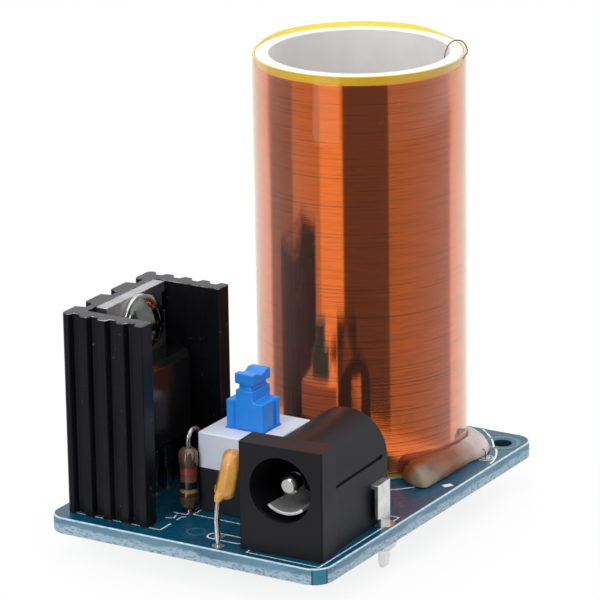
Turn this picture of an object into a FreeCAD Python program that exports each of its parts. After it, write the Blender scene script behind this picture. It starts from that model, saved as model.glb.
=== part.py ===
import FreeCAD, Part
import math
import os

# Small solid-state resonant transformer on a printed circuit board.  Millimetres, +Z up.
# +X runs along the board's front edge to the right, +Y to the back.  The origin is midway
# between the two mounting holes in the back corners, on the board's underside.

V = FreeCAD.Vector
Z_AXIS = V(0, 0, 1)
Y_AXIS = V(0, 1, 0)
X_AXIS = V(1, 0, 0)

# ---- board ----
board_width = 31.7
board_depth = 43.2
board_thickness = 1.7
board_corner = 2.0
mount_hole_radius = 1.0
mount_side_inset = 2.35
mount_back_inset = 3.1
hole_clearance = 0.12        # room round each lead in its hole

# ---- solder and trimmed leads, below the board ----
lead_tail = 1.5
short_tail = 0.5             # leads trimmed close, near the board's edges
solder_height = 0.8
short_solder_height = 0.4
solder_width = 0.65          # how far a joint spreads round its lead
solder_rim = 0.12            # the same at the joint's lower end

# ---- resonator coil ----
former_outer_radius = 10.4
former_wall = 1.35
former_height = 41.9
coil_side_inset = 14.3       # coil axis from the board's right edge
coil_back_inset = 11.0       # coil axis from the board's back edge
winding_thickness = 0.18
winding_foot_gap = 0.75      # bare stretch of former below the turns
winding_top_gap = 0.9
tape_thickness = 0.1
tape_foot_gap = 0.45
magnet_wire_radius = 0.06
magnet_wire_bend = 0.27      # inner bends of both wire ends
top_wire_gap = 0.03          # between the tape and the wire, and between the bore and the wire
top_wire_tail_angle = 14.0   # start of the top end on the tape, from +X about the coil axis
top_wire_outer_angle = 30.5  # where it leaves the tape
top_wire_inner_angle = 11.5  # where it goes down into the bore
top_wire_tail = 0.15         # start of the top end below the rim
top_wire_reach = 0.7         # how far it goes down into the bore
top_wire_rise = 1.4
top_wire_arch = [            # share of the way over the rim, share of the rise
    (1.0, 0.03), (0.81, 0.64), (0.53, 0.96), (0.34, 1.0), (0.19, 0.86), (0.0, 0.03)]
foot_wire_angle = 22.0
foot_wire_sweep = 4.0        # degrees that the wire runs round before it leaves the tape
foot_wire_gap = 0.14         # between the tape and the wire's axis
foot_wire_bow = 0.6
foot_wire_lift = 1.0         # start of the wire above the lowest turn
foot_wire_drop_height = 0.9  # where it turns down into its pad, above the board
foot_pad_side_inset = 1.65
foot_pad_back_inset = 7.9

# ---- glue bead along the coil's foot ----
glue_gap = 0.02
glue_width = 4.0             # widest reach out from the coil
glue_height = 2.5
glue_root = 0.4              # how far a section is drawn under the tape before the tape is cut out
glue_shoulder_reach = 0.75   # of a section's width, where its rounded face stands
glue_shoulder_height = 0.72  # of a section's height
glue_sections = [            # angle about the coil axis, share of the width, share of the height
    (-39.0, 0.30, 0.22),
    (-37.5, 0.66, 0.52),
    (-34.8, 0.92, 0.72),
    (-31.3, 0.90, 0.80),
    (-26.0, 0.72, 0.88),
    (-18.0, 0.54, 0.92),
    (-10.0, 0.42, 0.94),
    (-3.0, 0.38, 0.94),
    (4.0, 0.38, 0.92),
    (10.0, 0.48, 0.84),
    (17.0, 0.62, 0.74),
    (25.0, 0.64, 0.64),
    (33.0, 0.56, 0.56),
    (43.0, 0.44, 0.44),
    (54.0, 0.28, 0.30),
]

# ---- primary winding: a flat spiral of copper track on the underside ----
track_width = 1.0
track_gap = 0.5
track_thickness = 0.1
track_outer_radius = 9.6
track_half_turns = 6

# ---- heat sink ----
sink_left_inset = 1.55
sink_front_inset = 1.5
sink_length = 9.4
sink_height = 20.7
sink_gap = 12.05             # clear width between the arms
sink_arm_wall = 1.2
sink_web_wall = 0.8
sink_corner = 0.6
arm_rib_height = 0.65
arm_rib_width = 0.85
arm_rib_root_width = 1.35
arm_rib_count = 5
web_rib_height = 1.1
web_groove_width = 1.8
web_groove_root_width = 1.2
web_groove_pitch = 4.45
web_groove_count = 3

# ---- power transistor ----
transistor_width = 10.3
tab_thickness = 1.3
tab_height = 15.6
tab_drop = 0.05              # tab's top below the heat sink's top
tab_side_gap = 0.25          # between the tab and the far arm
tab_exposed = 6.5            # tab standing above the moulded body
tab_hole_drop = 2.8
tab_hole_radius = 1.85
tab_notch_depth = 0.55
tab_notch_top = 1.05
tab_notch_height = 1.9
body_thickness = 3.2
body_chamfer = 0.6
lead_pitch = 2.54
lead_width = 0.8
lead_thickness = 0.45
lead_set_back = 1.3          # lead's back face in front of the tab's front face
shoulder_width = 1.3
shoulder_height = 2.6

# ---- heat sink screw ----
screw_radius = 1.5
washer_radius = 2.85
washer_bore = 1.6
washer_thickness = 0.5
screw_head_radius = 2.85
screw_head_height = 2.1
screw_head_edge = 0.55
screw_tip_beyond = 0.4       # past the web's groove root
recess_width = 0.75
recess_length = 3.3
recess_depth = 1.2

# ---- power jack, in its own frame: x across, y from its front face, z from the board ----
jack_left_inset = 26.15      # jack axis from the board's left edge
jack_front_inset = 1.65
jack_turn = 3.0
jack_width = 9.0
jack_height = 11.0
jack_length = 14.1
jack_block_depth = 2.95
jack_body_half_width = 4.3
jack_axis_height = 6.6
jack_arch_height = 6.4       # centre of the rounded top of the rear body
jack_hole_radius = 3.3
jack_hole_depth = 11.0
jack_edge = 0.25
jack_slot_height = 0.35
jack_slot_depth = 0.3
jack_slot_end_gap = 1.1
pin_radius = 1.0
pin_tip_set_back = 1.5
pin_tip_chamfer = 0.35
pin_ring_set_back = 1.3
pin_ring_width = 0.25
pin_ring_depth = 0.12
terminal_thickness = 0.4
terminal_tail = 2.7
terminal_tip_taper = 0.7
rear_terminal_width = 2.6
rear_terminal_rise = 1.9     # above the socket's axis
rivet_radius = 0.7
terminal_tip_width = 1.2
leaf_spread = 76.0           # arc that the sleeve spring covers, about the socket's axis
leaf_radial_gap = 0.12       # between the pressed spring and the socket's wall
leaf_thickness = 0.3
leaf_tilt = 3.5              # raised at its front end when no plug is in
leaf_root_y = 7.8
leaf_tip_y = 0.95
leaf_root_gap = 0.06
leaf_root_room = 0.2         # behind the root, in the socket's floor
leaf_channel_gap = 0.35      # round the spring, in the floor of the socket
sleeve_leg_width = 3.0
side_terminal_reach = 5.1    # outer face from the jack's axis
side_terminal_front = 10.5
side_terminal_width = 2.6
side_terminal_top = 4.4
side_leg_width = 2.0
side_leg_top = 0.9
side_terminal_root = 0.8     # how far its upper end reaches into the wall

# ---- push switch ----
switch_left_inset = 16.55    # switch axis from the board's left edge
switch_front_inset = 12.7
switch_width = 8.0
switch_depth = 8.4
switch_base_height = 4.5
switch_height = 8.2
switch_edge = 0.2
cover_wall = 0.6
cover_top_wall = 0.7
button_side_offset = -0.15   # button's axis from the switch's
button_width = 4.2
button_depth = 3.3
button_top = 11.1
button_slide_gap = 0.15
button_groove = 0.25
button_groove_place = 0.4    # side groove behind the middle of the button
flange_margin = 0.7          # flange that keeps the button under the cover
flange_height = 0.6
flange_gap = 0.05            # between the flange and the cover at rest
bar_width = 2.0
bar_top = 12.25
neck_inset = 0.25
neck_top = 12.9
head_width = 2.15
head_top = 13.95
head_hollow_radius = 1.3     # shallow hollow across the top of the head
head_hollow_depth = 0.3
well_floor = 0.9
spring_radius = 1.1
spring_wire_radius = 0.15
spring_turns = 5
spring_end_gap = 0.05
well_margin = 0.3
bridge_width = 2.4
bridge_thickness = 0.2
bridge_drop = 1.2
bridge_contact_gap = 0.15    # between a bridge and the fixed contacts
bridge_well_margin = 0.25
latch_wire_radius = 0.2
latch_wire_bend = 0.24
latch_foot_z = 1.3
latch_offset = 2.4           # latch pin in front of the switch axis
latch_slot_half_width = 1.1
latch_slot_depth = 0.9
latch_hook = 0.35            # foot of the pin, bent over along its pivot
switch_pin_pitch = 2.0
switch_pin_row = 5.7
switch_pin_width = 0.5
switch_pin_thickness = 0.3
switch_contact_top = 3.6

# ---- upright resistor ----
resistor_left_inset = 11.9
resistor_front_inset = 7.7
resistor_length = 6.3
resistor_end_radius = 0.97
resistor_mid_radius = 0.87
resistor_cap_length = 1.6
resistor_blend = 0.35
resistor_end_round = 0.42
resistor_lift = 0.35
resistor_wire_radius = 0.25
resistor_pitch = 2.3
resistor_bend = 1.1          # of the folded lead, less than half the pitch
resistor_loop_turn = 94.0    # direction of the folded lead, from +X
resistor_loop_rise = 0.45

# ---- dipped capacitor ----
capacitor_left_inset = 18.8
capacitor_front_inset = 2.1
capacitor_width = 3.7        # along the line through its leads
capacitor_tall = 4.9
capacitor_thickness = 1.9
capacitor_corner = 1.6       # corners of its outline
capacitor_rim = 0.8          # round all along its edge
capacitor_height = 6.85      # centre of the body above the board
capacitor_side_offset = 1.15  # centre of the body beside the plane of its leads
capacitor_turn = -58.6       # direction from the back lead to the front lead
capacitor_lean = 13.0
capacitor_pitch = 2.5
capacitor_wire_radius = 0.24
capacitor_wire_bend = 2.5
capacitor_wire_bow = 0.12    # how far a lead bows out below the body
capacitor_bow_height = 2.7
capacitor_entry_height = 4.7  # where a lead enters the body
capacitor_entry_offset = 0.05
capacitor_wire_root = 0.6    # how far a lead reaches into the body

# ---- places worked out from the sizes ----
edge_match = 0.01            # how near its place an edge must lie to be the one meant
board_left = -board_width / 2
board_right = board_width / 2
board_back = mount_back_inset
board_front = board_back - board_depth
board_top = board_thickness
coil_x = board_right - coil_side_inset
coil_y = board_back - coil_back_inset
winding_radius = former_outer_radius + winding_thickness
tape_radius = winding_radius + tape_thickness
former_bore = former_outer_radius - former_wall
pad_x = board_right - foot_pad_side_inset
pad_y = board_back - foot_pad_back_inset
sink_left = board_left + sink_left_inset
sink_front = board_front + sink_front_inset
sink_web = web_rib_height + sink_web_wall
sink_half_span = sink_gap / 2 + sink_arm_wall + arm_rib_height
sink_mid = sink_front + sink_half_span
tab_back = sink_left + sink_web
tab_front = tab_back + tab_thickness
tab_mid = sink_mid + sink_gap / 2 - tab_side_gap - transistor_width / 2
tab_top = board_top + sink_height - tab_drop
screw_z = tab_top - tab_hole_drop
body_height = tab_height - tab_exposed
head_back = tab_front + washer_thickness
leaf_root_z = jack_axis_height - jack_hole_radius + leaf_radial_gap
capacitor_place = FreeCAD.Placement(
    V(board_left + capacitor_left_inset, board_front + capacitor_front_inset, board_top),
    FreeCAD.Rotation(Z_AXIS, capacitor_turn))
jack_place = FreeCAD.Placement(
    V(board_left + jack_left_inset, board_front + jack_front_inset, board_top),
    FreeCAD.Rotation(Z_AXIS, jack_turn))
switch_place = FreeCAD.Placement(
    V(board_left + switch_left_inset, board_front + switch_front_inset, board_top),
    FreeCAD.Rotation())

round_feet = []              # (x, y, radius) of each round lead through the board
flat_feet = []               # (x, y, size across, size deep, turn) of each flat lead


def box(x0, x1, y0, y1, z0, z1):
    return Part.makeBox(x1 - x0, y1 - y0, z1 - z0, V(x0, y0, z0))


def rod(x, y, z0, z1, radius):
    return Part.makeCylinder(radius, z1 - z0, V(x, y, z0), Z_AXIS)


def prism(points, height):
    corners = [V(*p) for p in points]
    return Part.Face(Part.makePolygon(corners + [corners[0]])).extrude(height)


def wire_along(points, bend, radius):
    """Round wire through straight runs joined by tangent arcs of radius bend."""
    edges = []
    start = points[0]
    for before, corner, after in zip(points, points[1:], points[2:]):
        to_before = (before - corner).normalize()
        to_after = (after - corner).normalize()
        half = to_before.getAngle(to_after) / 2
        reach = bend / math.tan(half)
        middle = (to_before + to_after).normalize() * (bend / math.sin(half) - bend)
        first = corner + to_before * reach
        last = corner + to_after * reach
        edges.append(Part.LineSegment(start, first).toShape())
        edges.append(Part.Arc(first, corner + middle, last).toShape())
        start = last
    edges.append(Part.LineSegment(start, points[-1]).toShape())
    path = Part.Wire(edges)
    along = (points[1] - points[0]).normalize()
    ring = Part.Wire(Part.makeCircle(radius, points[0], along))
    return path.makePipeShell([ring], True, False)


def wire_through(points, radius):
    """Round wire along one smooth curve through the points."""
    curve = Part.BSplineCurve()
    curve.interpolate(points)
    ring = Part.Wire(Part.makeCircle(radius, points[0], curve.tangent(curve.FirstParameter)[0]))
    return Part.Wire(curve.toShape()).makePipeShell([ring], True, True)


def save(name, shape):
    shape.exportStep("parts/%s.step" % name)


def tube(outer, inner, z0, z1):
    ring = rod(coil_x, coil_y, z0, z1, outer)
    return ring.cut(rod(coil_x, coil_y, z0, z1, inner))


def coil_point(angle, radius, z):
    turn = math.radians(angle)
    return V(coil_x + radius * math.cos(turn), coil_y + radius * math.sin(turn), z)


# ---- coil: former, one layer of wire, clear tape, and the two wire ends ----
def foot_wire(radius):
    """Lower end of the winding, off the coil and down through its pad."""
    outside = tape_radius + foot_wire_gap
    turns_foot = board_top + winding_foot_gap
    lead = [
        coil_point(foot_wire_angle, outside, turns_foot + foot_wire_lift),
        coil_point(foot_wire_angle - foot_wire_sweep, outside + foot_wire_bow, turns_foot),
        V(pad_x, pad_y, board_top + foot_wire_drop_height),
        V(pad_x, pad_y, -short_tail),
    ]
    return wire_along(lead, magnet_wire_bend, radius)


def make_coil():
    foot = board_top
    top = foot + former_height
    save("coil_former", tube(former_outer_radius, former_bore, foot, top))
    turns_foot = foot + winding_foot_gap
    turns_top = top - winding_top_gap
    save("secondary_winding", tube(winding_radius, former_outer_radius, turns_foot, turns_top))
    tape = tube(tape_radius, former_outer_radius, foot + tape_foot_gap, top)
    save("winding_tape", tape.cut(tube(winding_radius, former_outer_radius, turns_foot, turns_top)))

    outside = tape_radius + top_wire_gap + magnet_wire_radius
    inside = former_bore - top_wire_gap - magnet_wire_radius
    mid_angle = (top_wire_tail_angle + top_wire_outer_angle) / 2
    loop = [
        coil_point(top_wire_tail_angle, outside, top - top_wire_tail),
        coil_point(mid_angle, outside, top - top_wire_tail / 2),
    ]
    for way, rise in top_wire_arch:
        angle = top_wire_inner_angle + way * (top_wire_outer_angle - top_wire_inner_angle)
        loop.append(coil_point(angle, inside + way * (outside - inside),
                               top + rise * top_wire_rise))
    loop.append(coil_point(top_wire_inner_angle, inside, top - top_wire_reach))
    save("coil_top_wire", wire_through(loop, magnet_wire_radius))

    round_feet.append((pad_x, pad_y, magnet_wire_radius))
    save("coil_foot_wire", foot_wire(magnet_wire_radius))


def make_glue():
    """Bead of hot-melt glue in the corner between the coil and the board."""
    base = board_top + glue_gap
    inner = tape_radius - glue_root
    sections = []
    for angle, width_share, height_share in glue_sections:
        width = glue_width * width_share
        height = glue_height * height_share
        low = coil_point(angle, inner, base)
        high = coil_point(angle, inner, base + height)
        toe = coil_point(angle, tape_radius + width, base)
        crown = coil_point(angle, tape_radius + glue_shoulder_reach * width,
                           base + glue_shoulder_height * height)
        outline = [
            Part.LineSegment(low, high).toShape(),
            Part.Arc(high, crown, toe).toShape(),
            Part.LineSegment(toe, low).toShape(),
        ]
        sections.append(Part.Wire(outline))
    bead = Part.makeLoft(sections, True, True)
    bead = bead.cut(rod(coil_x, coil_y, board_top, board_top + 2 * glue_height,
                        tape_radius + glue_gap))
    save("glue_bead", bead.cut(foot_wire(magnet_wire_radius + glue_gap)))


def make_primary():
    """Spiral of half rings whose centres step to and fro by half a pitch."""
    pitch = track_width + track_gap
    outer = track_outer_radius
    spiral = None
    for turn in range(track_half_turns):
        centre = V(coil_x + (pitch / 4 if turn % 2 else -pitch / 4), coil_y, -track_thickness)
        start = 180 if turn % 2 else 0
        ring = Part.makeCylinder(outer, track_thickness, centre, Z_AXIS, 180)
        core = Part.makeCylinder(outer - track_width, track_thickness, centre, Z_AXIS, 180)
        half = ring.cut(core)
        half.rotate(centre, Z_AXIS, start)
        spiral = half if spiral is None else spiral.fuse(half)
        outer -= pitch / 2
    save("primary_track", spiral.removeSplitter())


# ---- heat sink: a ribbed U section, web on the left, open to the right ----
def make_heat_sink():
    inner_left = tab_back
    right = sink_left + sink_length
    arm_root = sink_gap / 2 + sink_arm_wall
    foot = board_top
    sink = box(sink_left, right, sink_mid - arm_root, sink_mid + arm_root, foot, foot + sink_height)
    sink = sink.cut(box(inner_left, right, sink_mid - sink_gap / 2, sink_mid + sink_gap / 2,
                        foot, foot + sink_height))
    pitch = (sink_length - arm_rib_width) / (arm_rib_count - 1)
    for side in (-1, 1):
        for rib in range(arm_rib_count):
            mid = sink_left + arm_rib_width / 2 + rib * pitch
            root_left = max(mid - arm_rib_root_width / 2, sink_left)
            root_right = min(mid + arm_rib_root_width / 2, right)
            root = sink_mid + side * arm_root
            crest = root + side * arm_rib_height
            sink = sink.fuse(prism([
                (root_left, root, foot), (root_right, root, foot),
                (mid + arm_rib_width / 2, crest, foot), (mid - arm_rib_width / 2, crest, foot),
            ], V(0, 0, sink_height)))
    for groove in range(web_groove_count):
        mid = sink_mid + (groove - (web_groove_count - 1) / 2) * web_groove_pitch
        sink = sink.cut(prism([
            (sink_left, mid - web_groove_width / 2, foot),
            (sink_left, mid + web_groove_width / 2, foot),
            (sink_left + web_rib_height, mid + web_groove_root_width / 2, foot),
            (sink_left + web_rib_height, mid - web_groove_root_width / 2, foot),
        ], V(0, 0, sink_height)))
    sink = sink.removeSplitter()
    corners = [e for e in sink.Edges if e.Length > sink_height - edge_match
               and abs(e.CenterOfMass.x - sink_left) < edge_match
               and abs(abs(e.CenterOfMass.y - sink_mid) - sink_half_span) < edge_match]
    sink = sink.makeFillet(sink_corner, corners)
    thread = Part.makeCylinder(screw_radius, sink_web, V(sink_left, tab_mid, screw_z), X_AXIS)
    save("heat_sink", sink.cut(thread))


def make_screw():
    """Pan-head screw with a cross recess, and the washer between it and the tab."""
    washer = Part.makeCylinder(washer_radius, washer_thickness, V(tab_front, tab_mid, screw_z),
                               X_AXIS)
    washer = washer.cut(Part.makeCylinder(washer_bore, washer_thickness,
                                          V(tab_front, tab_mid, screw_z), X_AXIS))
    save("screw_washer", washer)

    tip = tab_back - sink_web_wall - screw_tip_beyond
    shank = Part.makeCylinder(screw_radius, head_back - tip, V(tip, tab_mid, screw_z), X_AXIS)
    rim = screw_head_radius
    dome = screw_head_height - screw_head_edge
    sphere_radius = (rim * rim + dome * dome) / (2 * dome)
    crown = head_back + screw_head_height
    head = Part.makeCylinder(rim, screw_head_height, V(head_back, tab_mid, screw_z), X_AXIS)
    head = head.common(Part.makeSphere(sphere_radius, V(crown - sphere_radius, tab_mid, screw_z)))
    for across, tall in ((recess_width, recess_length), (recess_length, recess_width)):
        head = head.cut(box(crown - recess_depth, crown,
                            tab_mid - across / 2, tab_mid + across / 2,
                            screw_z - tall / 2, screw_z + tall / 2))
    save("heat_sink_screw", shank.fuse(head).removeSplitter())


# ---- power transistor: metal tab, moulded body and three leads ----
def make_transistor():
    half = transistor_width / 2
    bottom = tab_top - tab_height
    tab = box(tab_back, tab_front, tab_mid - half, tab_mid + half, bottom, tab_top)
    notch_top = tab_top - tab_notch_top
    for side in (-1, 1):
        edge = tab_mid + side * half
        inner = edge - side * tab_notch_depth
        tab = tab.cut(box(tab_back, tab_front, min(edge, inner), max(edge, inner),
                          notch_top - tab_notch_height, notch_top))
    hole = Part.makeCylinder(tab_hole_radius, tab_thickness, V(tab_back, tab_mid, screw_z), X_AXIS)
    save("transistor_tab", tab.cut(hole))

    front = tab_front + body_thickness
    body = box(tab_front, front, tab_mid - half, tab_mid + half, bottom, bottom + body_height)
    front_edges = [e for e in body.Edges if abs(e.CenterOfMass.x - front) < edge_match]
    body = body.makeChamfer(body_chamfer, front_edges)
    save("transistor_body", body)

    back = tab_front + lead_set_back
    leads = []
    for step in (-1, 0, 1):
        y = tab_mid + step * lead_pitch
        blade = box(back, back + lead_thickness, y - lead_width / 2, y + lead_width / 2,
                    -lead_tail, bottom)
        shoulder = box(back, back + lead_thickness, y - shoulder_width / 2,
                       y + shoulder_width / 2, bottom - shoulder_height, bottom)
        leads.append(blade.fuse(shoulder).removeSplitter())
        flat_feet.append((back + lead_thickness / 2, y, lead_thickness, lead_width, 0.0))
    save("transistor_leads", Part.makeCompound(leads))


# ---- power jack ----
def jack_foot(x, y, across, deep):
    spot = jack_place.multVec(V(x, y, 0))
    flat_feet.append((spot.x, spot.y, across, deep, jack_turn))


def save_jack(name, shape):
    shape.Placement = jack_place.multiply(shape.Placement)
    save(name, shape)


def leaf(grow, room, turn):
    """Curved sleeve spring under the plug, grown all round and turned about its root."""
    outer = jack_hole_radius - leaf_radial_gap + grow
    inner = jack_hole_radius - leaf_radial_gap - leaf_thickness - grow
    front = leaf_tip_y - grow
    length = leaf_root_y - leaf_root_gap + room - front
    start = V(0, front, jack_axis_height)
    reach = leaf_spread / 2 + math.degrees(grow / outer)
    ring = Part.makeCylinder(outer, length, start, Y_AXIS)
    ring = ring.cut(Part.makeCylinder(inner, length, start, Y_AXIS))
    side = 2 * outer * math.tan(math.radians(reach))
    wedge = prism([
        (0, front, jack_axis_height), (-side / 2, front, jack_axis_height - outer),
        (-side / 2, front, jack_axis_height - 2 * outer),
        (side / 2, front, jack_axis_height - 2 * outer),
        (side / 2, front, jack_axis_height - outer),
    ], V(0, length, 0))
    strip = ring.common(wedge)
    strip.rotate(V(0, leaf_root_y, leaf_root_z), X_AXIS, -leaf_tilt - turn)
    return strip


def make_jack():
    half = jack_width / 2
    body_half = jack_body_half_width
    block = box(-half, half, 0, jack_block_depth, 0, jack_height)
    upright = [e for e in block.Edges
               if abs(e.CenterOfMass.y) < edge_match
               and abs(e.Length - jack_height) < edge_match]
    block = block.makeFillet(jack_edge, upright)
    rear = box(-body_half, body_half, jack_block_depth, jack_length, 0, jack_arch_height)
    arch = Part.makeCylinder(body_half, jack_length - jack_block_depth,
                             V(0, jack_block_depth, jack_arch_height), Y_AXIS)
    housing = block.fuse(rear).fuse(arch)
    for side in (-1, 1):
        wall = side * body_half
        inner = wall - side * jack_slot_depth
        housing = housing.cut(box(min(wall, inner), max(wall, inner), jack_block_depth,
                                  jack_length - jack_slot_end_gap,
                                  jack_axis_height - jack_slot_height / 2,
                                  jack_axis_height + jack_slot_height / 2))
    socket = Part.makeCylinder(jack_hole_radius, jack_hole_depth, V(0, 0, jack_axis_height), Y_AXIS)
    housing = housing.cut(socket)

    channel = leaf(leaf_channel_gap, leaf_root_room, 0)
    channel = channel.fuse(leaf(leaf_channel_gap, leaf_root_room, -leaf_tilt))
    leg = sleeve_leg_width / 2
    slot = box(-leg, leg, leaf_root_y, leaf_root_y + terminal_thickness, 0, leaf_root_z)
    housing = housing.cut(channel).cut(slot)
    recess = rear_terminal_width / 2
    rear_front = jack_length - terminal_thickness
    plate_top = jack_axis_height + rear_terminal_rise
    housing = housing.cut(box(-recess, recess, rear_front, jack_length, 0, plate_top))
    housing = housing.cut(Part.makeCylinder(rivet_radius, jack_length, V(0, 0, jack_axis_height),
                                            Y_AXIS))
    strap_low = side_terminal_top - terminal_thickness
    strap_root = body_half - side_terminal_root
    side_back = side_terminal_front + side_terminal_width
    strap = box(strap_root, side_terminal_reach, side_terminal_front, side_back,
                strap_low, side_terminal_top)
    save_jack("jack_housing", housing.cut(strap).removeSplitter())

    pin_back = jack_hole_depth
    pin = Part.makeCylinder(pin_radius, pin_back - pin_tip_set_back,
                            V(0, pin_tip_set_back, jack_axis_height), Y_AXIS)
    tip = [e for e in pin.Edges if abs(e.CenterOfMass.y - pin_tip_set_back) < edge_match]
    pin = pin.makeChamfer(pin_tip_chamfer, tip)
    ring_y = pin_tip_set_back + pin_ring_set_back
    ring = Part.makeCylinder(pin_radius, pin_ring_width, V(0, ring_y, jack_axis_height), Y_AXIS)
    ring = ring.cut(Part.makeCylinder(pin_radius - pin_ring_depth, pin_ring_width,
                                      V(0, ring_y, jack_axis_height), Y_AXIS))
    rivet = Part.makeCylinder(rivet_radius, rear_front - pin_back,
                              V(0, pin_back, jack_axis_height), Y_AXIS)
    save_jack("jack_centre_pin", pin.cut(ring).fuse(rivet).removeSplitter())

    plate = box(-recess, recess, rear_front, jack_length, -board_thickness - terminal_tail,
                plate_top)
    save_jack("jack_rear_terminal", plate)
    jack_foot(0, rear_front + terminal_thickness / 2, rear_terminal_width, terminal_thickness)

    sleeve_leg = box(-leg, leg, leaf_root_y, leaf_root_y + terminal_thickness,
                     -board_thickness - terminal_tail, leaf_root_z)
    save_jack("jack_sleeve_terminal", sleeve_leg)
    jack_foot(0, leaf_root_y + terminal_thickness / 2, sleeve_leg_width, terminal_thickness)
    save_jack("jack_sleeve_spring", leaf(0, 0, 0))

    outer = side_terminal_reach
    inner = outer - terminal_thickness
    plate = box(inner, outer, side_terminal_front, side_back, side_leg_top, side_terminal_top)
    leg_front = side_back - side_leg_width
    low = -board_thickness - terminal_tail
    inset = (side_leg_width - terminal_tip_width) / 2
    blade = prism([
        (inner, leg_front, side_leg_top), (inner, side_back, side_leg_top),
        (inner, side_back, low + terminal_tip_taper), (inner, side_back - inset, low),
        (inner, leg_front + inset, low), (inner, leg_front, low + terminal_tip_taper),
    ], V(terminal_thickness, 0, 0))
    save_jack("jack_side_terminal", strap.fuse(plate).fuse(blade).removeSplitter())
    jack_foot((inner + outer) / 2, side_back - side_leg_width / 2, terminal_thickness,
              side_leg_width)


# ---- push switch: base, cover, button, spring, latch pin, contact bridges, terminals ----
def save_switch(name, shape):
    shape.Placement = switch_place.multiply(shape.Placement)
    save(name, shape)


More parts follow.
